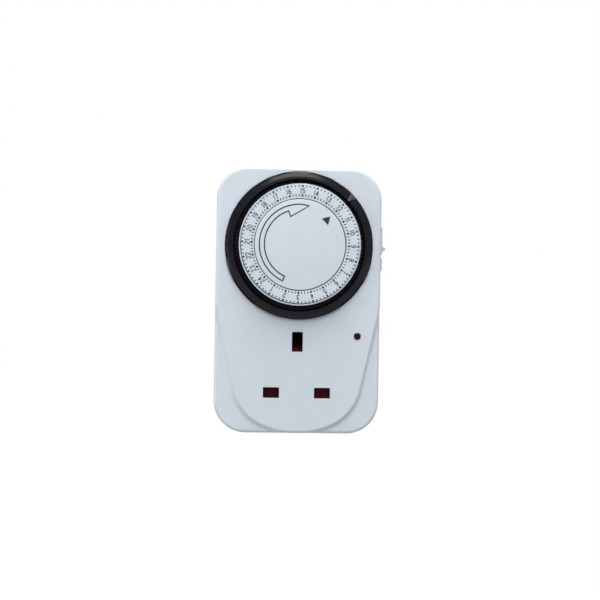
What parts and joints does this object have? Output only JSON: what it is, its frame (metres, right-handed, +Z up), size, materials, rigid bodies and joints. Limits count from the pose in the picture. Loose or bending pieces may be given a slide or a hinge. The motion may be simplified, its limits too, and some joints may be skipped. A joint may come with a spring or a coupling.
{
  "type": "plug-in timer switch",
  "caption": "White plug-in mechanical 24-hour timer with a three-pin plug and socket, a turning scale drum, push tappets, motor and gears, switch lever and side override.",
  "frame": {"origin": "on the flat wall face of the rear cover, midway in height between the earth pin and the row of the other two, on the centre line", "axes": "+Z up, -Y out of the dial face towards the user, +Y into the wall along the plug pins, +X to the right seen from the front"},
  "size_m": [0.0749, 0.0667, 0.116],
  "materials": {
    "white_plastic": "glossy white moulded plastic, slightly textured",
    "black_plastic": "glossy black moulded plastic",
    "dial_white": "smooth white plastic with a printed scale",
    "shutter_red": "dark red satin plastic",
    "lens_red": "clear deep red plastic",
    "pin_metal": "solid brass, drawn and tumbled",
    "contact_brass": "sheet brass, stamped",
    "sleeve_black": "matt black insulating plastic",
    "screw_steel": "zinc plated steel",
    "motor_steel": "pressed zinc plated steel",
    "shaft_steel": "ground steel",
    "spring_steel": "spring wire",
    "lead_sleeve": "black insulated wire",
    "winding_copper": "enamelled copper wire",
    "magnet": "grey ferrite in plastic",
    "gear_plastic": "natural acetal",
    "lever_plastic": "natural nylon",
    "lamp_glass": "clear glass",
    "resistor_body": "lacquered"
  },
  "bodies": {
    "case": {"front_housing": "white_plastic", "rear_cover": "white_plastic", "cover_screws": "screw_steel", "neutral_pin": "pin_metal", "live_pin": "pin_metal", "earth_pin": "pin_metal", "pin_sleeves": "sleeve_black", "neutral_contact": "contact_brass", "live_contact": "contact_brass", "earth_contact": "contact_brass", "dial_bezel": "black_plastic", "centre_disc": "dial_white", "motor_can": "motor_steel", "motor_coil": "winding_copper", "motor_leads": "lead_sleeve", "gear_plate": "motor_steel", "gear_shafts": "shaft_steel", "supply_strip": "contact_brass", "fixed_contact": "contact_brass", "neon_lens": "lens_red", "neon_lamp": "lamp_glass", "neon_resistor": "resistor_body"},
    "dial": {"scale_drum": "dial_white", "tappet_carrier": "black_plastic", "dial_gear": "gear_plastic"},
    "shutter": {"shutter": "shutter_red", "shutter_spring": "spring_steel"},
    "rotor": {"motor_rotor": "magnet"},
    "output_pinion": {"output_pinion": "gear_plastic"},
    "clutch_wheel": {"clutch_wheel": "gear_plastic"},
    "clutch_pinion": {"clutch_pinion": "gear_plastic"},
    "lever": {"cam_lever": "lever_plastic"},
    "leaf": {"contact_leaf": "contact_brass"},
    "slider": {"override_slider": "white_plastic", "override_bridge": "contact_brass"},
    "tappets_01": {"tappets_hour_01": "black_plastic"},
    "tappets_02": {"tappets_hour_02": "black_plastic"},
    "tappets_03": {"tappets_hour_03": "black_plastic"},
    "tappets_04": {"tappets_hour_04": "black_plastic"},
    "tappets_05": {"tappets_hour_05": "black_plastic"},
    "tappets_06": {"tappets_hour_06": "black_plastic"},
    "tappets_07": {"tappets_hour_07": "black_plastic"},
    "tappets_08": {"tappets_hour_08": "black_plastic"},
    "tappets_09": {"tappets_hour_09": "black_plastic"},
    "tappets_10": {"tappets_hour_10": "black_plastic"},
    "tappets_11": {"tappets_hour_11": "black_plastic"},
    "tappets_12": {"tappets_hour_12": "black_plastic"},
    "tappets_13": {"tappets_hour_13": "black_plastic"},
    "tappets_14": {"tappets_hour_14": "black_plastic"},
    "tappets_15": {"tappets_hour_15": "black_plastic"},
    "tappets_16": {"tappets_hour_16": "black_plastic"},
    "tappets_17": {"tappets_hour_17": "black_plastic"},
    "tappets_18": {"tappets_hour_18": "black_plastic"},
    "tappets_19": {"tappets_hour_19": "black_plastic"},
    "tappets_20": {"tappets_hour_20": "black_plastic"},
    "tappets_21": {"tappets_hour_21": "black_plastic"},
    "tappets_22": {"tappets_hour_22": "black_plastic"},
    "tappets_23": {"tappets_hour_23": "black_plastic"},
    "tappets_24": {"tappets_hour_24": "black_plastic"}
  },
  "joints": [
    {"name": "dial_turn", "type": "hinge", "parent": "case", "child": "dial", "pos_m": [0, -0.036, 0.05309], "axis": [0, 1, 0], "continuous": true},
    {"name": "clutch_pinion_turn", "type": "hinge", "parent": "case", "child": "clutch_pinion", "pos_m": [-0.01485, -0.024, 0.03824], "axis": [0, 1, 0], "continuous": true},
    {"name": "clutch_wheel_turn", "type": "hinge", "parent": "case", "child": "clutch_wheel", "pos_m": [-0.01485, -0.0176, 0.03824], "axis": [0, 1, 0], "continuous": true},
    {"name": "output_pinion_turn", "type": "hinge", "parent": "case", "child": "output_pinion", "pos_m": [-0.00782, -0.0176, 0.04857], "axis": [0, 1, 0], "continuous": true},
    {"name": "rotor_turn", "type": "hinge", "parent": "case", "child": "rotor", "pos_m": [0, -0.0075, 0.06008], "axis": [0, 1, 0], "continuous": true},
    {"name": "lever_rock", "type": "hinge", "parent": "case", "child": "lever", "pos_m": [0.01927, -0.016, 0.05955], "axis": [-1, 0, 0], "range_deg": [0, 3.5]},
    {"name": "leaf_bend", "type": "hinge", "parent": "case", "child": "leaf", "pos_m": [0.01927, -0.01765, 0.02905], "axis": [1, 0, 0], "range_deg": [0, 2], "stiffness_Nm_per_rad": 0.16, "springref_deg": -1.15},
    {"name": "override_slide", "type": "slide", "parent": "case", "child": "slider", "axis": [0, 0, -1], "range_m": [0, 0.005]},
    {"name": "shutter_slide", "type": "slide", "parent": "case", "child": "shutter", "axis": [0, 0, -1], "range_m": [0, 0.0056], "stiffness_N_per_m": 150, "springref_m": -0.004, "deforming": ["shutter_spring"]},
    {"name": "tappets_01_push", "type": "slide", "parent": "dial", "child": "tappets_01", "axis": [0, 1, 0], "range_m": [0, 0.003]},
    {"name": "tappets_02_push", "type": "slide", "parent": "dial", "child": "tappets_02", "axis": [0, 1, 0], "range_m": [0, 0.003]},
    {"name": "tappets_03_push", "type": "slide", "parent": "dial", "child": "tappets_03", "axis": [0, 1, 0], "range_m": [0, 0.003]},
    {"name": "tappets_04_push", "type": "slide", "parent": "dial", "child": "tappets_04", "axis": [0, 1, 0], "range_m": [0, 0.003]},
    {"name": "tappets_05_push", "type": "slide", "parent": "dial", "child": "tappets_05", "axis": [0, 1, 0], "range_m": [0, 0.003]},
    {"name": "tappets_06_push", "type": "slide", "parent": "dial", "child": "tappets_06", "axis": [0, 1, 0], "range_m": [0, 0.003]},
    {"name": "tappets_07_push", "type": "slide", "parent": "dial", "child": "tappets_07", "axis": [0, 1, 0], "range_m": [0, 0.003]},
    {"name": "tappets_08_push", "type": "slide", "parent": "dial", "child": "tappets_08", "axis": [0, 1, 0], "range_m": [0, 0.003]},
    {"name": "tappets_09_push", "type": "slide", "parent": "dial", "child": "tappets_09", "axis": [0, 1, 0], "range_m": [0, 0.003]},
    {"name": "tappets_10_push", "type": "slide", "parent": "dial", "child": "tappets_10", "axis": [0, 1, 0], "range_m": [0, 0.003]},
    {"name": "tappets_11_push", "type": "slide", "parent": "dial", "child": "tappets_11", "axis": [0, 1, 0], "range_m": [0, 0.003]},
    {"name": "tappets_12_push", "type": "slide", "parent": "dial", "child": "tappets_12", "axis": [0, 1, 0], "range_m": [0, 0.003]},
    {"name": "tappets_13_push", "type": "slide", "parent": "dial", "child": "tappets_13", "axis": [0, 1, 0], "range_m": [0, 0.003]},
    {"name": "tappets_14_push", "type": "slide", "parent": "dial", "child": "tappets_14", "axis": [0, 1, 0], "range_m": [0, 0.003]},
    {"name": "tappets_15_push", "type": "slide", "parent": "dial", "child": "tappets_15", "axis": [0, 1, 0], "range_m": [0, 0.003]},
    {"name": "tappets_16_push", "type": "slide", "parent": "dial", "child": "tappets_16", "axis": [0, 1, 0], "range_m": [0, 0.003]},
    {"name": "tappets_17_push", "type": "slide", "parent": "dial", "child": "tappets_17", "axis": [0, 1, 0], "range_m": [0, 0.003]},
    {"name": "tappets_18_push", "type": "slide", "parent": "dial", "child": "tappets_18", "axis": [0, 1, 0], "range_m": [0, 0.003]},
    {"name": "tappets_19_push", "type": "slide", "parent": "dial", "child": "tappets_19", "axis": [0, 1, 0], "range_m": [0, 0.003]},
    {"name": "tappets_20_push", "type": "slide", "parent": "dial", "child": "tappets_20", "axis": [0, 1, 0], "range_m": [0, 0.003]},
    {"name": "tappets_21_push", "type": "slide", "parent": "dial", "child": "tappets_21", "axis": [0, 1, 0], "range_m": [0, 0.003]},
    {"name": "tappets_22_push", "type": "slide", "parent": "dial", "child": "tappets_22", "axis": [0, 1, 0], "range_m": [0, 0.003]},
    {"name": "tappets_23_push", "type": "slide", "parent": "dial", "child": "tappets_23", "axis": [0, 1, 0], "range_m": [0, 0.003]},
    {"name": "tappets_24_push", "type": "slide", "parent": "dial", "child": "tappets_24", "axis": [0, 1, 0], "range_m": [0, 0.003]}
  ],
  "couplings": [
    {"joint": "clutch_pinion_turn", "follows": "dial_turn", "ratio": -6},
    {"joint": "output_pinion_turn", "follows": "clutch_wheel_turn", "ratio": -4},
    {"joint": "leaf_bend", "follows": "lever_rock", "ratio": 0.57}
  ]
}
